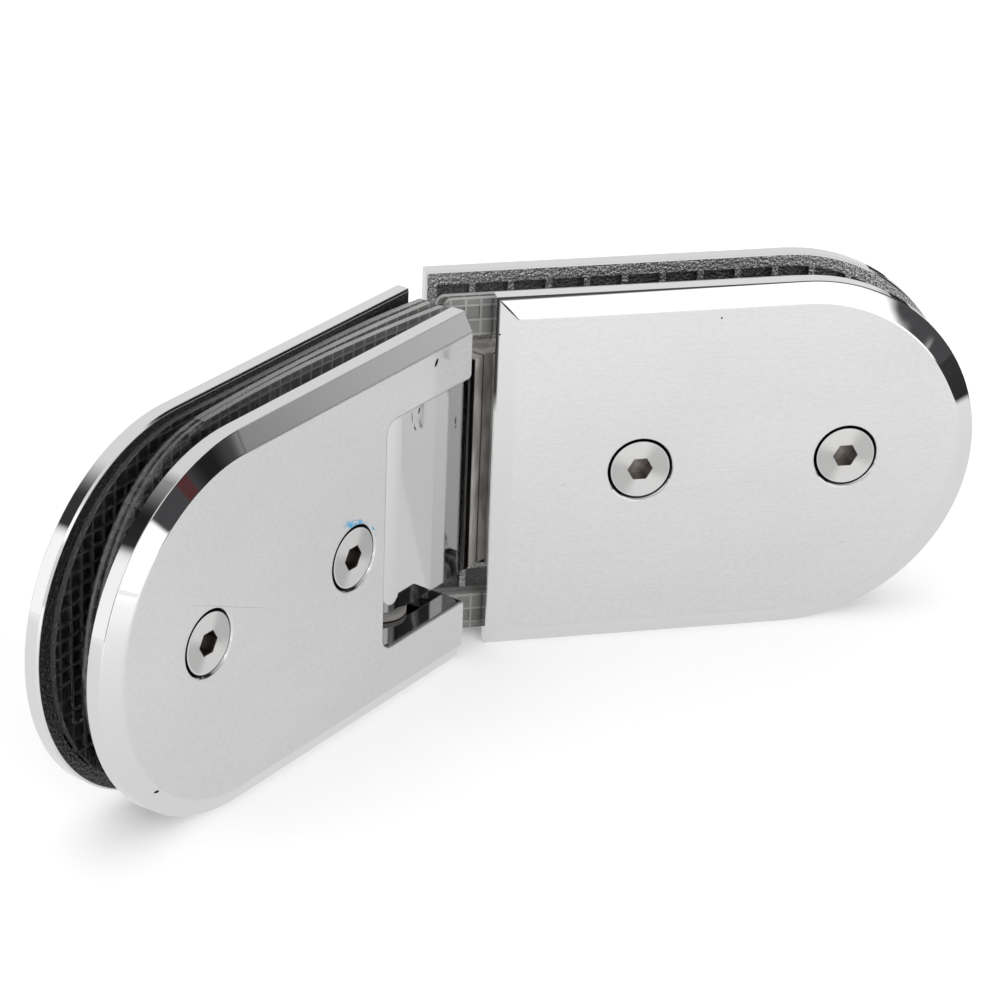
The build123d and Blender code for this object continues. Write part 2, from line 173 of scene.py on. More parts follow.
profile = {
    "bevelWidth": 3.5,  # mm
    "bevelSlope": 27.9,  # degrees
    "bevelStart": 7.7,  # mm from the middle plane
    "crisp": 0.25,  # mm, half width of the turn from bevel to face at the top of the tip
    "rolled": 1.5,  # mm, and at the foot of the tip, where the wheel has rolled it over
    "rollHeights": (20, -16),  # mm above the middle, between which it changes
    "blend": 1.0,  # mm, over which the straight edges ease into the tip
    "wave": 3.0,  # degrees, unevenness of the hand-polished bevel
    "waveSize": 9.0,  # mm
}


def tipCurve(tree, place, leaf, facing):
    # the true curve of the polished tip, which the mesh shows in flats, and where it holds
    side = leaves[leaf]
    along, up, front = addNode(tree, "SeparateXYZ", {0: place}).node.outputs
    past = addNode(tree, "Math", {0: along, 1: side["roundCentre"]}, operation="SUBTRACT")
    past = addNode(tree, "Math", {0: past, 1: side["tipSide"]}, operation="MULTIPLY")
    past = addNode(tree, "Math", {0: past, 1: 0.0}, operation="MAXIMUM")
    blend = addNode(tree, "Math", {0: past, 1: profile["blend"]}, operation="ADD")
    blend = addNode(tree, "Math", {0: past, 1: blend}, operation="DIVIDE")
    eased = addNode(tree, "Math", {0: blend, 1: past}, operation="MULTIPLY")
    across = addNode(tree, "Math", {0: eased, 1: side["tipSide"]}, operation="MULTIPLY")
    spread = addNode(tree, "CombineXYZ", {0: across, 1: up})
    radius = addNode(tree, "CombineXYZ", {0: past, 1: up})
    radius = addNode(tree, "VectorMath", {0: radius}, 1, operation="LENGTH")
    flatRadius = halfHeight - profile["bevelWidth"]
    inward = addNode(tree, "Math", {0: flatRadius, 1: radius}, operation="SUBTRACT")
    top, foot = profile["rollHeights"]
    turn = addNode(tree, "MapRange", {0: up, 1: top, 2: foot, 3: profile["crisp"], 4: profile["rolled"]})
    start = addNode(tree, "Math", {0: turn, 1: -1.0}, operation="MULTIPLY")
    slope = {0: inward, 1: start, 2: turn, 3: radians(profile["bevelSlope"]), 4: 0.0}
    slope = addNode(tree, "MapRange", slope, interpolation_type="SMOOTHSTEP")
    # noise strays from its middle by about a third at most
    wave = grain(tree, place, profile["waveSize"], (1, 1, 1), 1)
    wave = addNode(tree, "Math", {0: wave, 1: 0.5}, operation="SUBTRACT")
    wave = addNode(tree, "Math", {0: wave, 1: radians(profile["wave"]) * 3}, operation="MULTIPLY")
    wave = addNode(tree, "Math", {0: wave, 1: slope}, operation="MULTIPLY")
    slope = addNode(tree, "Math", {0: slope, 1: wave}, operation="ADD")
    out = addNode(tree, "Math", {0: front, 1: facing}, operation="MULTIPLY")
    rimTop = profile["bevelStart"]
    rim = addNode(tree, "MapRange", {0: out, 1: rimTop + 0.1, 2: rimTop - 0.1})
    slope = addNode(tree, "Mix", {0: rim, 2: slope, 3: radians(90)})
    lean = addNode(tree, "Math", {0: slope}, operation="SINE")
    rise = addNode(tree, "Math", {0: slope}, operation="COSINE")
    spread = addNode(tree, "VectorMath", {0: spread}, operation="NORMALIZE")
    spread = addNode(tree, "VectorMath", {0: spread, "Scale": lean}, operation="SCALE")
    across, up = addNode(tree, "SeparateXYZ", {0: spread}).node.outputs[:2]
    facing = [facing * part for part in side["front"]]
    normal = addNode(tree, "CombineXYZ", {2: up})
    for axis, size in ((side["along"], across), (facing, rise)):
        part = addNode(tree, "VectorMath", {0: axis, "Scale": size}, operation="SCALE")
        normal = addNode(tree, "VectorMath", {0: normal, 1: part}, operation="ADD")
    # it holds where the mesh faces much the same way, past the straight edges, and on rim and bevel
    flat = addNode(tree, "TexCoord", output=1)
    near = addNode(tree, "VectorMath", {0: flat, 1: normal}, 1, operation="DOT_PRODUCT")
    near = addNode(tree, "MapRange", {0: near, 1: 0.78, 2: 0.84})
    tip = addNode(tree, "MapRange", {0: past, 1: 0.0, 2: 0.8})
    holds = addNode(tree, "Math", {0: near, 1: tip}, operation="MULTIPLY")
    border = addNode(tree, "MapRange", {0: inward, 1: 3.0, 2: 2.5})
    holds = addNode(tree, "Math", {0: holds, 1: border}, operation="MULTIPLY")
    world = {"vector_type": "NORMAL", "convert_from": "OBJECT", "convert_to": "WORLD"}
    return addNode(tree, "VectorTransform", {0: normal}, **world), holds


# camera

camera = {
    "place": (-107.83, -538.43, 308.07),  # mm, with the pivot axis at 0, 0
    "turn": (63.500, -2.018, -12.462),  # degrees
    "lens": 127.8,
    "sensor": 36,  # mm
    "nearest": 0.05,  # m
}

lens = bpy.data.cameras.new("camera")
lens.lens = camera["lens"]
lens.sensor_width = camera["sensor"]
lens.clip_start = camera["nearest"]
cameraObject = bpy.data.objects.new("camera", lens)
cameraObject.location = Vector(camera["place"]) * mm
cameraObject.rotation_euler = Euler([radians(angle) for angle in camera["turn"]], "XYZ")
bpy.context.scene.collection.objects.link(cameraObject)
bpy.context.scene.camera = cameraObject

# studio: a white tent on a pale table, two soft lamps with bright panels before them, and dark gaps

studio = {
    "tent": "#f6f6f7",
    "distance": 1.1,  # m, lamps to the pivot
    # degrees from straight ahead of the fixed leaf towards its tip, and above the table
    "lamps": [
        {"name": "keyBox", "azimuth": 28, "elevation": 16, "size": (0.80, 0.72), "power": 4.4},
        {"name": "sideBox", "azimuth": -88, "elevation": 13, "size": (0.26, 0.34), "power": 0.75},
    ],
    # edges and the softness of the left and right one in degrees, tone, how bright it is if not
    # plain, and how far its left edge leans with each degree above the turning height
    "panels": [
        {"azimuth": (13, 75), "elevation": (-6, 34), "soft": (3, 4), "tone": "#ffffff", "light": 1.6},
        {"azimuth": (-95, -78), "elevation": (-9, 38), "soft": (3, 3), "tone": "#ffffff", "light": 1.3},
        {"azimuth": (84, 130), "elevation": (-6, 30), "soft": (10, 20), "tone": "#d2d2d3"},
        {"azimuth": (53.8, 88.7), "elevation": (-15, 30), "soft": (2.5, 9), "tone": "#505052", "lean": 0.9},
        {"azimuth": (70, 81), "elevation": (-15, 30), "soft": (8, 8), "tone": "#262628"},
        {"azimuth": (82, 116), "elevation": (20, 44), "soft": (8, 12), "tone": "#2c2c2e"},
        {"azimuth": (66, 68), "elevation": (14, 16), "soft": (1.5, 1.5), "tone": "#6c1a1e", "lean": 0.5},
        {"azimuth": (-130, -96), "elevation": (37, 60), "soft": (36, 4), "tone": "#3c3c3e"},
        {"azimuth": (-24, -6), "elevation": (-10, 24), "soft": (5, 5), "tone": "#3a3a3c"},
    ],
    "leanHeight": 10.0,  # degrees, where a leaning edge is at its azimuth
    "leanFoot": -5.0,  # degrees from there, below which the edge stands upright
    "softFoot": 2,  # degrees, half the softness of the lower edges
    "softTop": 4,
    "tableHalf": 2,  # m
    "floor": "#e9e9e9",
    "floorLift": 0.2,  # keeps the table white to the camera, with only a trace of shadow
    # m to the right where the table ends, its slanted front's slope, and their half softness in m
    "tableEnd": {"right": 0.28, "slant": 0.72, "soft": (0.012, 0.02), "tone": "#2a2a2c"},
    # what the chrome sees of the table: a share lit by the lamps, and a glow that grows towards the front
    "tableShine": {"lit": 0.30, "glow": (0.62, 0.98), "front": 0.3},
}


def towards(azimuth, elevation):
    a, e = radians(azimuth), radians(elevation)
    return Vector((sin(a) * cos(e), -cos(a) * cos(e), sin(e)))


for lamp in studio["lamps"]:
    data = bpy.data.lights.new(lamp["name"], "AREA")
    data.shape = "RECTANGLE"
    data.size, data.size_y = lamp["size"]
    data.energy = lamp["power"]
    lampObject = bpy.data.objects.new(lamp["name"], data)
    direction = towards(lamp["azimuth"], lamp["elevation"])
    lampObject.location = direction * studio["distance"]
    lampObject.rotation_euler = direction.to_track_quat("Z", "Y").to_euler()
    lampObject.visible_glossy = False
    bpy.context.scene.collection.objects.link(lampObject)

world = bpy.data.worlds.new("studio")
bpy.context.scene.world = world
world.use_nodes = True
tree = world.node_tree
tree.nodes.clear()
ray = addNode(tree, "SeparateXYZ", {0: addNode(tree, "TexCoord")}).node.outputs
ahead = addNode(tree, "Math", {0: ray[1], 1: -1.0}, operation="MULTIPLY")
azimuth = addNode(tree, "Math", {0: ray[0], 1: ahead}, operation="ARCTAN2")
azimuth = addNode(tree, "Math", {0: azimuth}, operation="DEGREES")
elevation = addNode(tree, "Math", {0: ray[2]}, operation="ARCSINE")
elevation = addNode(tree, "Math", {0: elevation}, operation="DEGREES")
colour = addNode(tree, "RGB")
colour.default_value = linear(studio["tent"])
for panel in studio["panels"]:
    left, right = panel["azimuth"]
    low, high = panel["elevation"]
    softLeft, softRight = panel["soft"]
    above = addNode(tree, "Math", {0: elevation, 1: studio["leanHeight"]}, operation="SUBTRACT")
    above = addNode(tree, "Math", {0: above, 1: studio["leanFoot"]}, operation="MAXIMUM")
    leaning = {0: above, 1: panel.get("lean", 0.0), 2: azimuth}
    leaning = addNode(tree, "Math", leaning, operation="MULTIPLY_ADD")
    edges = [
        (leaning, left - softLeft / 2, left + softLeft / 2),
        (azimuth, right + softRight / 2, right - softRight / 2),
        (elevation, low - studio["softFoot"], low + studio["softFoot"]),
        (elevation, high + studio["softTop"], high - studio["softTop"]),
    ]
    inside = None
    for value, outer, inner in edges:
        step = addNode(tree, "MapRange", {0: value, 1: outer, 2: inner}, interpolation_type="SMOOTHSTEP")
        if inside is not None:
            step = addNode(tree, "Math", {0: inside, 1: step}, operation="MULTIPLY")
        inside = step
    tone = [part * panel.get("light", 1.0) for part in linear(panel["tone"])]
    colour = addNode(tree, "Mix", {0: inside, 6: colour, 7: tone}, 2, data_type="RGBA")
tent = addNode(tree, "Background", {"Color": colour})
plain = addNode(tree, "Background", {"Color": (1, 1, 1, 1)})
seen = addNode(tree, "LightPath", output="Is Camera Ray")
shown = addNode(tree, "MixShader", {0: seen, 1: tent, 2: plain})
addNode(tree, "OutputWorld", {"Surface": shown})
print("studio ready")

# table: pale all over to the camera, while the chrome sees it end not far beyond the fixed tip

floorMesh = bpy.data.meshes.new("table")
half = studio["tableHalf"]
corners = [(-half, -half, 0), (half, -half, 0), (half, half, 0), (-half, half, 0)]
floorMesh.from_pydata(corners, [], [(0, 1, 2, 3)])
floor = bpy.data.objects.new("table", floorMesh)
bpy.context.scene.collection.objects.link(floor)
material, tree, shader = newMaterial("paleTable")
shader.inputs["Roughness"].default_value = 0.9
shader.inputs["Specular IOR Level"].default_value = 0.1
path = addNode(tree, "LightPath").node.outputs
end = studio["tableEnd"]
spot = addNode(tree, "TexCoord", output="Object")
right, back = addNode(tree, "SeparateXYZ", {0: spot}).node.outputs[:2]
softRight, softFront = end["soft"]
beyond = addNode(tree, "MapRange", {0: right, 1: end["right"] - softRight, 2: end["right"] + softRight})
slanted = addNode(tree, "Math", {0: right, 1: end["slant"], 2: back}, operation="MULTIPLY_ADD")
behind = addNode(tree, "MapRange", {0: slanted, 1: -softFront, 2: softFront})
beyond = addNode(tree, "Math", {0: beyond, 1: behind}, operation="MULTIPLY")
shown = studio["tableShine"]
least, most = shown["glow"]
glow = addNode(tree, "MapRange", {0: back, 1: 0.0, 2: -shown["front"], 3: least, 4: most})
dark = linear(end["tone"])
lit = addNode(tree, "Mix", {0: beyond, 6: [shown["lit"]] * 3 + [1], 7: dark}, 2, data_type="RGBA")
glow = addNode(tree, "Mix", {0: beyond, 2: glow, 3: 0.0})
clear = {0: path["Is Glossy Ray"], 1: path["Is Transmission Ray"]}
clear = addNode(tree, "Math", clear, operation="MAXIMUM")
colour = addNode(tree, "Mix", {0: clear, 6: linear(studio["floor"]), 7: lit}, 2, data_type="RGBA")
colour = addNode(tree, "Mix", {0: path["Is Camera Ray"], 6: colour, 7: (1, 1, 1, 1)}, 2, data_type="RGBA")
tree.links.new(colour, shader.inputs["Base Color"])
shader.inputs["Emission Color"].default_value = (1, 1, 1, 1)
lift = addNode(tree, "Mix", {0: clear, 2: 0.0, 3: glow})
lift = addNode(tree, "Mix", {0: path["Is Camera Ray"], 2: lift, 3: studio["floorLift"]})
tree.links.new(lift, shader.inputs["Emission Strength"])
floorMesh.materials.append(material)
print("table ready")

# front plates: cast zinc, ground flat, buffed and chrome-plated to a mirror

frontPlate = {
    # the moving leaf's chrome is a darker copy, painted shade for the dimmer table it reflects
    "coloursWithShade": {"fixed": "#dedede", "moving": "#d6d6d6"},
    "flatRoughness": 0.06,  # buffing haze of the wide faces
    "bevelRoughness": 0.03,
    "edge": 0.45,  # mm, rounded by the buffing wheel
    # grain in mm, and its scale along the leaf, where less is longer
    "haze": (0.45, 0.45),  # fine mottle left by buffing
    "cloud": (14.0, 0.5),  # slow change of tone
    "streak": (0.6, 0.06),  # long polishing marks
    "cloudShare": 0.6,  # against the haze's share of 1
    "streakShare": {"fixed": 0.25, "moving": 0.12},
    "shade": (0.92, 1.01),  # of the colour, where these are darkest and brightest
    "hazeDepth": 0.0006,  # mm
    "wave": 9.0,  # mm, waviness left by the wheel
    "waveDepth": 0.004,
    # place, half sizes and turn of each mark of wear on a leaf, in mm and degrees
    "chips": {
        "moving": [((-70.98, -21.6), (0.55, 0.42), 0), ((1.9, 28.2), (0.45, 0.9), -30)],
        "fixed": [((5.3, 27.0), (0.2, 0.25), 0), ((44.5, 28.4), (0.25, 0.18), 0)],
    },
    "scratches": {
        "moving": [
            ((-53.0, 4.5), (17.0, 0.07), -24), ((4.4, 29.0), (2.6, 0.14), 20),
            ((-62.9, -0.5), (0.9, 0.2), 40), ((-53.2, -0.5), (0.7, 0.2), 60),
        ],
        "fixed": [((17.4, -2.1), (0.9, 0.08), 30), ((70.2, -17.4), (0.7, 0.1), 10)],
    },
    "chipColour": "#141414",
    "chipRoughness": 0.6,
    "scratchColour": "#7a7a7a",
    "scratchShare": 0.5,  # of that colour
    "scratchRoughness": 0.35,
    # painted dark reflection along the lines where bevels meet
    "darkReflectionLines": {"moving": [], "fixed": [((6.45, 32.0), (2.7, 0.2), -45)]},
    # and on the fixed leaf between rim and bevel: half its width in mm at the straight edge and at
    # the tip, mm along the leaf at both, mm in front of the middle plane, and mm up where it starts
    "rimReflectionLine": {"width": (0.3, 0.07), "along": (8.0, 62.0), "front": 7.72, "up": (12.0, 16.0)},
    "notchShade": "#8f8f8f",  # painted shade on upward faces inside the notch, under the block
    "notchTop": (31.0, 30.0),  # mm up, where such faces belong to the outline and to the notch
    # blue polishing paste left on the moving leaf
    "paste": [((-20.2, 6.4), (4.4, 0.95), -20), ((-14.9, 3.0), (0.45, 2.0), 20)],
    "pasteColour": "#4f9fc4",
    "pasteRoughness": 0.5,
    "pasteBlotch": 0.8,  # mm
}

for leaf in ("fixed", "moving"):
    look = frontPlate
    material, tree, shader = newMaterial(leaf + "PolishedChrome")
    place = leafPlace(tree, leaf)
    flat = facingFront(tree, leaf)
    noises = []
    for key, detail in (("haze", 4), ("cloud", 2), ("streak", 2)):
        size, stretch = look[key]
        noises.append(grain(tree, place, size, (stretch, 1, 1), detail))
    haze, cloud, streak = noises
    tone = addNode(tree, "Math", {0: cloud, 1: look["cloudShare"], 2: haze}, operation="MULTIPLY_ADD")
    tone = {0: streak, 1: look["streakShare"][leaf], 2: tone}
    tone = addNode(tree, "Math", tone, operation="MULTIPLY_ADD")
    darkest, brightest = look["shade"]
    shade = addNode(tree, "MapRange", {0: tone, 1: 0.6, 2: 1.2, 3: darkest, 4: brightest})
    chrome = linear(look["coloursWithShade"][leaf])
    dimmed = addNode(tree, "VectorMath", {0: chrome[:3], "Scale": shade}, operation="SCALE")
    colour = addNode(tree, "Mix", {0: flat, 6: chrome, 7: dimmed}, 2, data_type="RGBA")
    rough = addNode(tree, "Mix", {0: flat, 2: look["bevelRoughness"], 3: look["flatRoughness"]})
    for at, size, turn in look["scratches"][leaf]:
        scratch = mark(tree, place, at, size, turn, 0.9, 0.15)
        scratch = addNode(tree, "Math", {0: scratch, 1: flat}, operation="MULTIPLY")
        rough = addNode(tree, "Mix", {0: scratch, 2: rough, 3: look["scratchRoughness"]})
        scratch = addNode(tree, "Math", {0: scratch, 1: look["scratchShare"]}, operation="MULTIPLY")
        tones = {0: scratch, 6: colour, 7: linear(look["scratchColour"])}
        colour = addNode(tree, "Mix", tones, 2, data_type="RGBA")
    for at, size, turn in look["chips"][leaf]:
        chip = mark(tree, place, at, size, turn, 0.35, 0.5)
        tones = {0: chip, 6: colour, 7: linear(look["chipColour"])}
        colour = addNode(tree, "Mix", tones, 2, data_type="RGBA")
        rough = addNode(tree, "Mix", {0: chip, 2: rough, 3: look["chipRoughness"]})
    # painted shade in the seams round the cover screws
    paintedDark = screwSeamShade(tree, place, leaf)
    # painted dark reflections along the lines where bevels meet
    for at, size, turn in look["darkReflectionLines"][leaf]:
        line = mark(tree, place, at, size, turn, 0.6, 0.05)
        paintedDark = addNode(tree, "Math", {0: paintedDark, 1: line}, operation="MAXIMUM")
    if leaf == "fixed":
        # painted dark reflection between rim and bevel on the fixed leaf
        rimReflectionLine = look["rimReflectionLine"]
        along, up, front = addNode(tree, "SeparateXYZ", {0: place}).node.outputs
        edge, tip = rimReflectionLine["along"]
        wide, narrow = rimReflectionLine["width"]
        width = addNode(tree, "MapRange", {0: along, 1: edge, 2: tip, 3: wide, 4: narrow})
        line = addNode(tree, "Math", {0: front, 1: rimReflectionLine["front"]}, operation="SUBTRACT")
        line = addNode(tree, "Math", {0: line}, operation="ABSOLUTE")
        line = addNode(tree, "Math", {0: line, 1: width}, operation="DIVIDE")
        line = addNode(tree, "MapRange", {0: line, 1: 1.0, 2: 0.5})
        starts, full = rimReflectionLine["up"]
        top = addNode(tree, "MapRange", {0: up, 1: starts, 2: full, 3: 0.0, 4: 0.9})
        line = addNode(tree, "Math", {0: line, 1: top}, operation="MULTIPLY")
        paintedDark = addNode(tree, "Math", {0: paintedDark, 1: line}, operation="MAXIMUM")
    # the painted shade and painted dark reflections take the seam's dark tone
    tones = {0: paintedDark, 6: colour, 7: linear(screwGapShade["colour"])}
    colour = addNode(tree, "Mix", tones, 2, data_type="RGBA")
    rough = addNode(tree, "Mix", {0: paintedDark, 2: rough, 3: look["chipRoughness"]})
    # painted shade: upward faces inside the notch, under the block, are darkened
    normal = addNode(tree, "TexCoord", output=1)
    upward = addNode(tree, "VectorMath", {0: normal, 1: (0, 0, 1)}, 1, operation="DOT_PRODUCT")
    upward = addNode(tree, "MapRange", {0: upward, 1: 0.6, 2: 0.8})
    height = addNode(tree, "VectorMath", {0: place, 1: (0, 1, 0)}, 1, operation="DOT_PRODUCT")
    outline, inside = look["notchTop"]
    low = addNode(tree, "MapRange", {0: height, 1: outline, 2: inside})
    notchShadeMask = addNode(tree, "Math", {0: upward, 1: low}, operation="MULTIPLY")
    tones = {0: notchShadeMask, 6: colour, 7: linear(look["notchShade"])}
    colour = addNode(tree, "Mix", tones, 2, data_type="RGBA")
    shader.inputs["Metallic"].default_value = 1.0
    if leaf == "moving":
        metal = 1.0
        blotch = grain(tree, place, look["pasteBlotch"])
        blotch = addNode(tree, "MapRange", {0: blotch, 1: 0.34, 2: 0.5})
        blotch = addNode(tree, "Math", {0: blotch, 1: flat}, operation="MULTIPLY")
        for at, size, turn in look["paste"]:
            film = mark(tree, place, at, size, turn, 0.7, 1.6)
            film = addNode(tree, "Math", {0: film, 1: blotch}, operation="MULTIPLY")
            tones = {0: film, 6: colour, 7: linear(look["pasteColour"])}
            colour = addNode(tree, "Mix", tones, 2, data_type="RGBA")
            rough = addNode(tree, "Mix", {0: film, 2: rough, 3: look["pasteRoughness"]})
            metal = addNode(tree, "Math", {0: metal, 1: film}, operation="SUBTRACT", use_clamp=True)
        tree.links.new(metal, shader.inputs["Metallic"])
    height = addNode(tree, "Math", {0: haze, 1: flat}, operation="MULTIPLY")
    height = addNode(tree, "Math", {0: height, 1: look["hazeDepth"]}, operation="MULTIPLY")
    wave = grain(tree, place, look["wave"], (1, 1, 1), 1)
    height = {0: wave, 1: look["waveDepth"], 2: height}
    height = addNode(tree, "Math", height, operation="MULTIPLY_ADD")
    finishSurface(tree, shader, colour, rough, height, look["edge"], tipCurve(tree, place, leaf, 1))
    plate = nodes[leaf + "_front_plate"].data.materials
    plate.clear()
    plate.append(material)
print("front plates ready")

# back plates: polished chrome outside, rough chrome-plated casting on the side of the glass

backPlate = {
    "colour": "#dadada",
    "roughness": 0.03,
    "edge": 0.2,  # mm
    "polished": (0.36, 0.42),  # mm in from the outline, where the polish ends and the casting starts
    "rimStart": -7.1,  # mm in front of the middle plane, where the ground rim ends
    "inside": -5.1,  # and where the casting's inner face lies
    "lump": 0.55,  # mm, lumps of the sand-like casting skin
    "lumpDepth": 0.5,
    "grit": (0.5, 0.28),  # roughness between and on the lumps
    "speck": 0.3,  # mm, bright flecks on it
    "wave": 9.0,  # mm, waviness left by the wheel
    "waveDepth": 0.004,
    # dark and bright flecks of the casting skin; the moving leaf's darker copy is painted shade of the gap
    "skinsWithShade": {"fixed": ("#8b8a89", "#fbfbfa"), "moving": ("#3a3939", "#6c6b6b")},
    "pocket": "#8c8c8c",
}

for leaf in ("fixed", "moving"):
    look = backPlate
    side = leaves[leaf]
    way = side["tipSide"]
    material, tree, shader = newMaterial(leaf + "CastChrome")
    place = leafPlace(tree, leaf)
    along, up, front = addNode(tree, "SeparateXYZ", {0: place}).node.outputs
    past = addNode(tree, "Math", {0: along, 1: side["roundCentre"]}, operation="SUBTRACT")
    past = addNode(tree, "Math", {0: past, 1: way}, operation="MULTIPLY")
    past = addNode(tree, "Math", {0: past, 1: 0.0}, operation="MAXIMUM")
    spread = addNode(tree, "CombineXYZ", {0: past, 1: up})
    radius = addNode(tree, "VectorMath", {0: spread}, 1, operation="LENGTH")
    fromEdge = addNode(tree, "Math", {0: along, 1: side["straightEdge"]}, operation="SUBTRACT")
    fromEdge = addNode(tree, "Math", {0: fromEdge, 1: way}, operation="MULTIPLY")
    ends, starts = look["polished"]
    steps = [
        (radius, halfHeight - ends, halfHeight - starts),
        (fromEdge, ends, starts),
        (front, look["rimStart"], look["rimStart"] + 0.1),
    ]
    cast = None
    for value, outer, inner in steps:
        step = addNode(tree, "MapRange", {0: value, 1: outer, 2: inner})
        if cast is not None:
            step = addNode(tree, "Math", {0: cast, 1: step}, operation="MULTIPLY")
        cast = step
    deep = addNode(tree, "MapRange", {0: front, 1: look["inside"] - 0.1, 2: look["inside"] - 1.2})
    lump = grain(tree, place, look["lump"], (1, 1, 1), 4)
    speck = grain(tree, place, look["speck"], (1, 1, 1), 2)
    speck = addNode(tree, "MapRange", {0: speck, 1: 0.40, 2: 0.62})
    # the moving leaf's darker skin is painted shade
    dark, bright = [linear(tone) for tone in look["skinsWithShade"][leaf]]
    skin = addNode(tree, "Mix", {0: speck, 6: dark, 7: bright}, 2, data_type="RGBA")
    skin = addNode(tree, "Mix", {0: deep, 6: skin, 7: linear(look["pocket"])}, 2, data_type="RGBA")
    colour = addNode(tree, "Mix", {0: cast, 6: linear(look["colour"]), 7: skin}, 2, data_type="RGBA")
    between, on = look["grit"]
    grit = addNode(tree, "MapRange", {0: lump, 1: 0.3, 2: 0.7, 3: between, 4: on})
    rough = addNode(tree, "Mix", {0: cast, 2: look["roughness"], 3: grit})
    wave = grain(tree, place, look["wave"], (1, 1, 1), 1)
    wave = addNode(tree, "Math", {0: wave, 1: look["waveDepth"]}, operation="MULTIPLY")
    rugged = addNode(tree, "Math", {0: lump, 1: look["lumpDepth"]}, operation="MULTIPLY")
    height = addNode(tree, "Mix", {0: cast, 2: wave, 3: rugged})
    shader.inputs["Metallic"].default_value = 1.0
    finishSurface(tree, shader, colour, rough, height, look["edge"], tipCurve(tree, place, leaf, -1))
    plate = nodes[leaf + "_back_plate"].data.materials
    plate.clear()
    plate.append(material)
print("back plates ready")

# pivot block: polished chrome, its bend left dull and stained where the wheel can't reach, and a painted
# gap shadow

block = {
    "colour": "#d2d2d2",
    "stain": ("#beb7b0", "#ece8e3"),
    "streak": 2.2,  # mm, streaks of the stain
    "polishEnd": 19.9,  # mm along the moving leaf
    "stainStart": 21.2,  # and a black band of painted gap shadow between the two
    "gapShadow": "#151515",
    "bendLine": 23.7,
    "lineColour": "#1a1817",
    "roughness": 0.05,
    "dullRoughness": 0.45,
    "dullMetal": 0.2,
    "pit": 0.5,  # mm, pits of the dull end
    "pitDepth": 0.06,
    "wave": 11.0,  # mm, waviness left by the wheel
    "waveDepth": 0.006,
    "edge": 0.3,  # mm
    # place, half sizes and turn of each mark, in mm and degrees
    "chips": [
        ((4.87, 16.5), (0.3, 0.75), -10), ((16.0, 9.4), (0.25, 0.3), 0), ((18.0, 5.2), (0.2, 0.9), 0),
    ],
    "chipColour": "#1b1b1b",
    "scratches": [((2.9, 16.0), (0.16, 1.5), 8), ((3.8, 13.7), (0.16, 1.1), 25)],
    "scratchColour": "#4a4a4a",
}

material, tree, shader = newMaterial("blockPolishedChrome")
place = leafPlace(tree, "moving")
along = addNode(tree, "SeparateXYZ", {0: place})
# painted shadow of the gap: a black band between the polish and the stain
gapShadow = addNode(tree, "MapRange", {0: along, 1: block["polishEnd"] - 0.15, 2: block["polishEnd"] + 0.15})
dull = addNode(tree, "MapRange", {0: along, 1: block["stainStart"] - 0.2, 2: block["stainStart"] + 0.2})
offLine = addNode(tree, "Math", {0: along, 1: block["bendLine"]}, operation="SUBTRACT")
offLine = addNode(tree, "Math", {0: offLine}, operation="ABSOLUTE")
line = addNode(tree, "MapRange", {0: offLine, 1: 0.3, 2: 0.1, 3: 0.0, 4: 0.85})
streak = grain(tree, place, block["streak"], (1, 0.25, 1), 4)
dark, pale = [linear(tone) for tone in block["stain"]]
patch = addNode(tree, "MapRange", {0: streak, 1: 0.38, 2: 0.6})
stain = addNode(tree, "Mix", {0: patch, 6: dark, 7: pale}, 2, data_type="RGBA")
stain = addNode(tree, "Mix", {0: line, 6: stain, 7: linear(block["lineColour"])}, 2, data_type="RGBA")
tones = {0: gapShadow, 6: linear(block["colour"]), 7: linear(block["gapShadow"])}
colour = addNode(tree, "Mix", tones, 2, data_type="RGBA")
colour = addNode(tree, "Mix", {0: dull, 6: colour, 7: stain}, 2, data_type="RGBA")
# the wear is on the front only
normal = addNode(tree, "TexCoord", output=1)
ahead = addNode(tree, "VectorMath", {0: normal, 1: leaves["moving"]["front"]}, 1, operation="DOT_PRODUCT")
ahead = addNode(tree, "MapRange", {0: ahead, 1: 0.2, 2: 0.4})
for wear, tone, soft in (("chips", "chipColour", 0.4), ("scratches", "scratchColour", 0.6)):
    tone = linear(block[tone])
    for at, size, turn in block[wear]:
        spot = mark(tree, place, at, size, turn, soft, 0.4)
        spot = addNode(tree, "Math", {0: spot, 1: ahead}, operation="MULTIPLY")
        colour = addNode(tree, "Mix", {0: spot, 6: colour, 7: tone}, 2, data_type="RGBA")
rough = addNode(tree, "Mix", {0: dull, 2: block["roughness"], 3: block["dullRoughness"]})
metal = addNode(tree, "Mix", {0: dull, 2: 1.0, 3: block["dullMetal"]})
tree.links.new(metal, shader.inputs["Metallic"])
pits = addNode(tree, "Math", {0: grain(tree, place, block["pit"]), 1: dull}, operation="MULTIPLY")
wave = grain(tree, place, block["wave"], (1, 1, 1), 1)
wave = addNode(tree, "Math", {0: wave, 1: block["waveDepth"]}, operation="MULTIPLY")
height = addNode(tree, "Math", {0: pits, 1: block["pitDepth"], 2: wave}, operation="MULTIPLY_ADD")
finishSurface(tree, shader, colour, rough, height, block["edge"])
nodes["pivot_block"].data.materials.clear()
nodes["pivot_block"].data.materials.append(material)
print("pivot block ready")

# gaskets: grey translucent PVC, moulded with rows of square cells in both faces

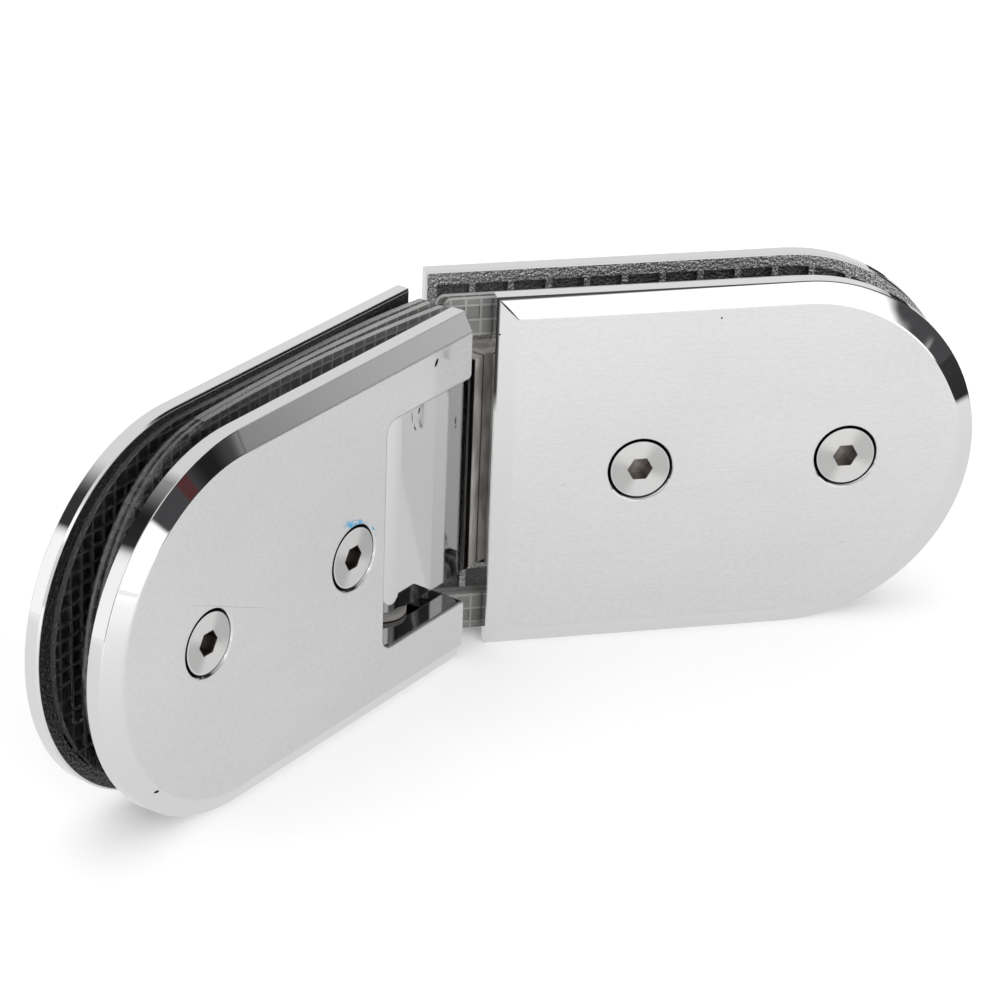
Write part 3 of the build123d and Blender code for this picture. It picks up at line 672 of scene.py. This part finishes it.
gasket = {
    "ribColour": "#b9b8b6",
    "cellColour": "#a09f9c",
    "roughness": (0.25, 0.15),  # over a slow change of tone
    "cloud": 5.0,  # mm, size of that change
    "shade": (0.85, 1.0),
    "ior": 1.53,
    # thick ribs look milky and thin cell floors clear, both milkier towards the hinge
    "ribClear": (0.86, 0.30),
    "cellClear": (0.97, 0.45),
    "milky": (-50, 2),  # mm along the leaf, between which that change runs
    "pitch": 2.7,  # mm
    "cell": 2.3,
    "depth": 0.3,
    "border": 0.75,  # of the pitch, so far from a cell's middle there has to be sheet
    "reach": 100,  # mm to each side that cells are sought
    "lineStart": 20,
    "ripple": 3.0,  # mm
    "rippleDepth": 0.05,
    "edge": 0.12,
    "sheets": {
        "fixed": ("fixed_front_gasket", "fixed_rear_gasket"),
        "moving": ("moving_front_gasket", "moving_middle_gasket", "moving_back_gasket"),
    },
}

for leaf, sheets in gasket["sheets"].items():
    material, tree, shader = newMaterial(leaf + "GreyVinyl")
    place = leafPlace(tree, leaf)
    cell = None
    for axis, shift in (((1, 0, 0), 0.0), ((0, 1, 0), 0.5)):
        step = addNode(tree, "VectorMath", {0: place, 1: axis}, 1, operation="DOT_PRODUCT")
        step = addNode(tree, "Math", {0: step, 1: 1 / gasket["pitch"], 2: shift}, operation="MULTIPLY_ADD")
        step = addNode(tree, "Math", {0: step}, operation="FRACT")
        step = addNode(tree, "Math", {0: step, 1: 0.5}, operation="SUBTRACT")
        step = addNode(tree, "Math", {0: step}, operation="ABSOLUTE")
        half = gasket["cell"] / gasket["pitch"] / 2
        step = addNode(tree, "MapRange", {0: step, 1: half + 0.02, 2: half - 0.02})
        if cell is not None:
            step = addNode(tree, "Math", {0: cell, 1: step}, operation="MULTIPLY")
        cell = step
    normal = addNode(tree, "TexCoord", output=1)
    face = addNode(tree, "VectorMath", {0: normal, 1: leaves[leaf]["front"]}, 1, operation="DOT_PRODUCT")
    face = addNode(tree, "Math", {0: face}, operation="ABSOLUTE")
    face = addNode(tree, "MapRange", {0: face, 1: 0.45, 2: 0.6})
    cell = addNode(tree, "Math", {0: cell, 1: face}, operation="MULTIPLY")
    cloud = grain(tree, place, gasket["cloud"])
    tones = {0: cell, 6: linear(gasket["ribColour"]), 7: linear(gasket["cellColour"])}
    colour = addNode(tree, "Mix", tones, 2, data_type="RGBA")
    shade, rough = [
        addNode(tree, "MapRange", {0: cloud, 1: 0.3, 2: 0.7, 3: gasket[key][0], 4: gasket[key][1]})
        for key in ("shade", "roughness")
    ]
    colour = addNode(tree, "VectorMath", {0: colour, "Scale": shade}, operation="SCALE")
    shader.inputs["IOR"].default_value = gasket["ior"]
    along = addNode(tree, "SeparateXYZ", {0: place})
    near = addNode(tree, "MapRange", {0: along, 1: gasket["milky"][0], 2: gasket["milky"][1]})
    ribClear = addNode(tree, "Mix", {0: near, 2: gasket["ribClear"][0], 3: gasket["ribClear"][1]})
    cellClear = addNode(tree, "Mix", {0: near, 2: gasket["cellClear"][0], 3: gasket["cellClear"][1]})
    clear = addNode(tree, "Mix", {0: cell, 2: ribClear, 3: cellClear})
    tree.links.new(clear, shader.inputs["Transmission Weight"])
    ripple = grain(tree, place, gasket["ripple"])
    height = addNode(tree, "Math", {0: ripple, 1: gasket["rippleDepth"]}, operation="MULTIPLY")
    finishSurface(tree, shader, colour, rough, height, gasket["edge"])

    out, rise, run = Vector(leaves[leaf]["front"]), Vector((0, 0, 1)), Vector(leaves[leaf]["along"])
    centre = Vector(leaves[leaf]["origin"])
    pitch = gasket["pitch"]
    columns, rows = int(gasket["reach"] / pitch), int(halfHeight / pitch)
    edges = [gasket["border"] * pitch * (run * a + rise * b) for a in (-1, 1) for b in (-1, 1)]
    size = Vector((gasket["cell"], gasket["cell"], 2 * gasket["depth"])) * mm
    for name in sheets:
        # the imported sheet, with its cells cut where a line across the leaf meets it
        mesh = nodes[name].data.copy()
        mesh.transform(nodes[name].matrix_world)
        shape = BVHTree.FromPolygons([v.co for v in mesh.vertices], [p.vertices for p in mesh.polygons])
        cutter = bmesh.new()
        for column, row in product(range(-columns, columns + 1), range(-rows, rows + 1)):
            middle = centre + (run * (column + 0.5) + rise * row) * pitch
            for way in (1, -1):
                # a cell starts where a line from so many mm off the leaf meets the sheet
                start = middle + out * way * gasket["lineStart"]
                hit, normal = shape.ray_cast(start * mm, -out * way)[:2]
                # no cell is cut into the plain border
                beside = [shape.ray_cast((start + edge) * mm, -out * way)[0] for edge in edges]
                if hit is None or None in beside:
                    continue
                across = rise.cross(normal).normalized()
                turn = Matrix((across, rise, normal)).transposed().to_4x4()
                where = Matrix.Translation(hit) @ turn @ Matrix.Diagonal((*size, 1))
                bmesh.ops.create_cube(cutter, size=1.0, matrix=where)
        cutterMesh = bpy.data.meshes.new("cells")
        cutter.to_mesh(cutterMesh)
        cutter.free()
        cells = bpy.data.objects.new("cells", cutterMesh)
        bpy.context.scene.collection.objects.link(cells)
        sheet = bpy.data.objects.new(name + "_cells", mesh)
        bpy.context.scene.collection.objects.link(sheet)
        cut = sheet.modifiers.new("cells", "BOOLEAN")
        cut.object = cells
        cut.solver = "EXACT"
        scenery = bpy.context.evaluated_depsgraph_get()
        sheet.data = bpy.data.meshes.new_from_object(sheet.evaluated_get(scenery))
        sheet.modifiers.clear()
        bpy.data.objects.remove(cells)
        sheet.data.materials.clear()
        sheet.data.materials.append(material)
        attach(sheet, leaf + "_leaf")
        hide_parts(name)
        print(name, len(sheet.data.polygons), "faces")
print("gaskets ready")

# cover screws: stainless steel, their faces turned on a lathe

coverScrew = {
    "colour": "#d6d5d4",
    "socketColour": "#958f8b",
    "socketFrom": 8.95,  # mm in front of the middle plane
    "faceRadius": 5.1,  # mm, inside the plain edge
    "ring": 0.22,  # mm between the turned rings
    "uneven": (0.35, 3.3),  # mm between deeper rings, and how much deeper they are
    "ringDepth": 0.006,
    "faceRoughness": 0.3,
    # the tool marks run round the screw, which spreads the light into two fans, also painted into the
    # colour as a sheen
    "spread": 0.4,
    "fanShade": 0.72,  # of the colour, painted darker in the stretches between them
    "fanTurn": 20,  # degrees from along the leaf to the middles of these
    "edgeRoughness": 0.12,
    "edge": 0.2,
}

for leaf in ("fixed", "moving"):
    for side in ("inner", "outer"):
        name = f"{leaf}_{side}_cover_screw"
        look = coverScrew
        low, high = [Vector(corner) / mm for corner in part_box(name)]
        centre = ((low + high) / 2 - Vector(leaves[leaf]["origin"])).dot(Vector(leaves[leaf]["along"]))
        material, tree, shader = newMaterial(leaf + side.title() + "TurnedSteel")
        place = leafPlace(tree, leaf)
        place = addNode(tree, "VectorMath", {0: place, 1: (centre, 0, 0)}, operation="SUBTRACT")
        across, up, front = addNode(tree, "SeparateXYZ", {0: place}).node.outputs
        level = addNode(tree, "CombineXYZ", {0: across, 1: up})
        radius = addNode(tree, "VectorMath", {0: level}, 1, operation="LENGTH")
        ring = addNode(tree, "Math", {0: radius, 1: 2 * pi / look["ring"]}, operation="MULTIPLY")
        ring = addNode(tree, "Math", {0: ring}, operation="SINE")
        size, share = look["uneven"]
        uneven = grain(tree, addNode(tree, "CombineXYZ", {0: radius}), size)
        height = addNode(tree, "Math", {0: uneven, 1: share, 2: ring}, operation="MULTIPLY_ADD")
        height = addNode(tree, "Math", {0: height, 1: facingFront(tree, leaf)}, operation="MULTIPLY")
        height = addNode(tree, "Math", {0: height, 1: look["ringDepth"]}, operation="MULTIPLY")
        socket = addNode(tree, "MapRange", {0: front, 1: look["socketFrom"] + 0.2, 2: look["socketFrom"]})
        tones = {0: socket, 6: linear(look["colour"]), 7: linear(look["socketColour"])}
        colour = addNode(tree, "Mix", tones, 2, data_type="RGBA")
        outside = addNode(tree, "MapRange", {0: radius, 1: look["faceRadius"], 2: look["faceRadius"] + 0.2})
        # painted sheen: the colour is darkened between the two fans of light
        turned = addNode(tree, "Math", {0: up, 1: across}, operation="ARCTAN2")
        turned = {0: turned, 1: 2.0, 2: -2 * radians(look["fanTurn"])}
        turned = addNode(tree, "Math", turned, operation="MULTIPLY_ADD")
        turned = addNode(tree, "Math", {0: turned}, operation="COSINE")
        paintedSheen = {0: turned, 1: -0.6, 2: 0.7, 3: 1.0, 4: look["fanShade"]}
        paintedSheen = addNode(tree, "MapRange", paintedSheen, interpolation_type="SMOOTHSTEP")
        paintedSheen = addNode(tree, "Mix", {0: outside, 2: paintedSheen, 3: 1.0})
        colour = addNode(tree, "VectorMath", {0: colour, "Scale": paintedSheen}, operation="SCALE")
        rough = addNode(tree, "Mix", {0: outside, 2: look["faceRoughness"], 3: look["edgeRoughness"]})
        # painted shade in the seam round the head
        paintedDark = screwSeamShade(tree, leafPlace(tree, leaf), leaf)
        tones = {0: paintedDark, 6: colour, 7: linear(screwGapShade["colour"])}
        colour = addNode(tree, "Mix", tones, 2, data_type="RGBA")
        shader.inputs["Metallic"].default_value = 1.0
        shader.inputs["Anisotropic"].default_value = look["spread"]
        up = addNode(tree, "CombineXYZ", {2: across})
        down = addNode(tree, "VectorMath", {0: level, 1: (0, -1, 0)}, 1, operation="DOT_PRODUCT")
        rings = addNode(tree, "VectorMath", {0: leaves[leaf]["along"], "Scale": down}, operation="SCALE")
        rings = addNode(tree, "VectorMath", {0: rings, 1: up}, operation="ADD")
        space = {"vector_type": "VECTOR", "convert_from": "OBJECT", "convert_to": "WORLD"}
        rings = addNode(tree, "VectorTransform", {0: rings}, **space)
        tree.links.new(rings, shader.inputs["Tangent"])
        finishSurface(tree, shader, colour, rough, height, look["edge"])
        nodes[name].data.materials.clear()
        nodes[name].data.materials.append(material)
print("cover screws ready")

# small parts in and round the block

smallEdge = 0.1  # mm
smallParts = {
    # colour, metal or not, roughness, grain of the making in mm, its depth in mm, and the nodes
    "greyNylon": ("#8f8d89", 0.0, 0.42, 0.8, 0.02, ("upper_bush", "lower_bush")),
    "groundStainless": ("#b8b7b5", 1.0, 0.25, 0.3, 0.004, ("pivot_pin",)),
    "zincPlatedSteel": (
        "#a9a9a4", 1.0, 0.35, 0.4, 0.01,
        [
            f"{level}_{piece}"
            for level in ("upper", "lower")
            for piece in ("block_screw", "lock_screw", "plunger", "spring", "tension_screw")
        ],
    ),
}

for finish, (tone, metal, roughness, size, depth, names) in smallParts.items():
    material, tree, shader = newMaterial(finish)
    tooth = grain(tree, leafPlace(tree, "fixed"), size)
    shade = addNode(tree, "MapRange", {0: tooth, 1: 0.25, 2: 0.75, 3: 0.85, 4: 1.0})
    colour = addNode(tree, "VectorMath", {0: linear(tone)[:3], "Scale": shade}, operation="SCALE")
    rough = addNode(tree, "MapRange", {0: tooth, 1: 0.2, 2: 0.8, 3: roughness + 0.06, 4: roughness - 0.06})
    height = addNode(tree, "Math", {0: tooth, 1: depth}, operation="MULTIPLY")
    shader.inputs["Metallic"].default_value = metal
    finishSurface(tree, shader, colour, rough, height, smallEdge)
    for name in names:
        nodes[name].data.materials.clear()
        nodes[name].data.materials.append(material)
print("small parts ready")

bpy.context.scene.view_settings.view_transform = "Standard"
